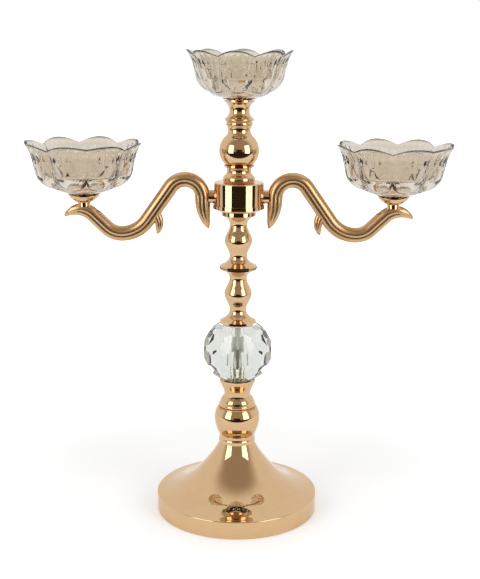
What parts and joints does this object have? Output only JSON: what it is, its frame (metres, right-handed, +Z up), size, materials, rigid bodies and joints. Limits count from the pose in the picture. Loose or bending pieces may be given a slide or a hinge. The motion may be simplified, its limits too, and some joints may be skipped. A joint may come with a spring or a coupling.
{
  "type": "candlestick",
  "caption": "Candelabra with glass petal bowls on a turned metal column, S-shaped arms and a faceted crystal ball, on a round weighted base.",
  "frame": {"origin": "centre of the base's underside, on the table", "axes": "+Z up the column, arms along +X and -X, front faces -Y"},
  "size_m": [0.3731, 0.1462, 0.4143],
  "materials": {
    "polished_metal": "mirror polished, warm gold plate",
    "cast_metal": "satin gold plate on a casting",
    "glass": "clear, light champagne tint",
    "crystal": "clear, ground and polished",
    "steel": "zinc plated",
    "iron": "rough cast, painted black",
    "felt": "matt felt",
    "dark_washer": "matt",
    "clear_pad": "clear soft plastic",
    "fastener": "polished"
  },
  "bodies": {
    "stand": {"base_felt": "felt", "base_weight": "iron", "base_bell": "polished_metal", "rod_nut": "steel", "rod_washer": "steel", "tie_rod": "steel", "vase_bulb": "polished_metal", "crystal_cup": "polished_metal", "lower_ball_pad": "clear_pad", "crystal_ball": "crystal", "crystal_sleeve": "steel", "upper_ball_pad": "clear_pad", "lower_baluster": "polished_metal", "baluster_washer": "dark_washer", "upper_baluster": "polished_metal", "top_column": "polished_metal", "top_cup": "polished_metal", "top_bowl_pad": "clear_pad", "top_bowl_washer": "fastener", "top_bowl_screw": "fastener"},
    "arm_pair": {"arm_hub": "polished_metal", "left_stud": "polished_metal", "left_arm": "cast_metal", "left_dish": "polished_metal", "left_bowl_pad": "clear_pad", "left_bowl_washer": "fastener", "left_bowl_screw": "fastener", "right_stud": "polished_metal", "right_arm": "cast_metal", "right_dish": "polished_metal", "right_bowl_pad": "clear_pad", "right_bowl_washer": "fastener", "right_bowl_screw": "fastener"},
    "left_glass": {"left_bowl": "glass"},
    "right_glass": {"right_bowl": "glass"},
    "top_glass": {"top_bowl": "glass"}
  },
  "joints": [
    {"name": "arm_swivel", "type": "hinge", "parent": "stand", "child": "arm_pair", "pos_m": [0, 0, 0.27675], "axis": [0, 0, 1], "continuous": true},
    {"name": "left_bowl_turn", "type": "hinge", "parent": "arm_pair", "child": "left_glass", "pos_m": [-0.1348, 0, 0.2912], "axis": [0, 0, 1], "continuous": true},
    {"name": "right_bowl_turn", "type": "hinge", "parent": "arm_pair", "child": "right_glass", "pos_m": [0.1348, 0, 0.2912], "axis": [0, 0, 1], "continuous": true},
    {"name": "top_bowl_turn", "type": "hinge", "parent": "stand", "child": "top_glass", "pos_m": [0, 0, 0.37335], "axis": [0, 0, 1], "continuous": true}
  ]
}
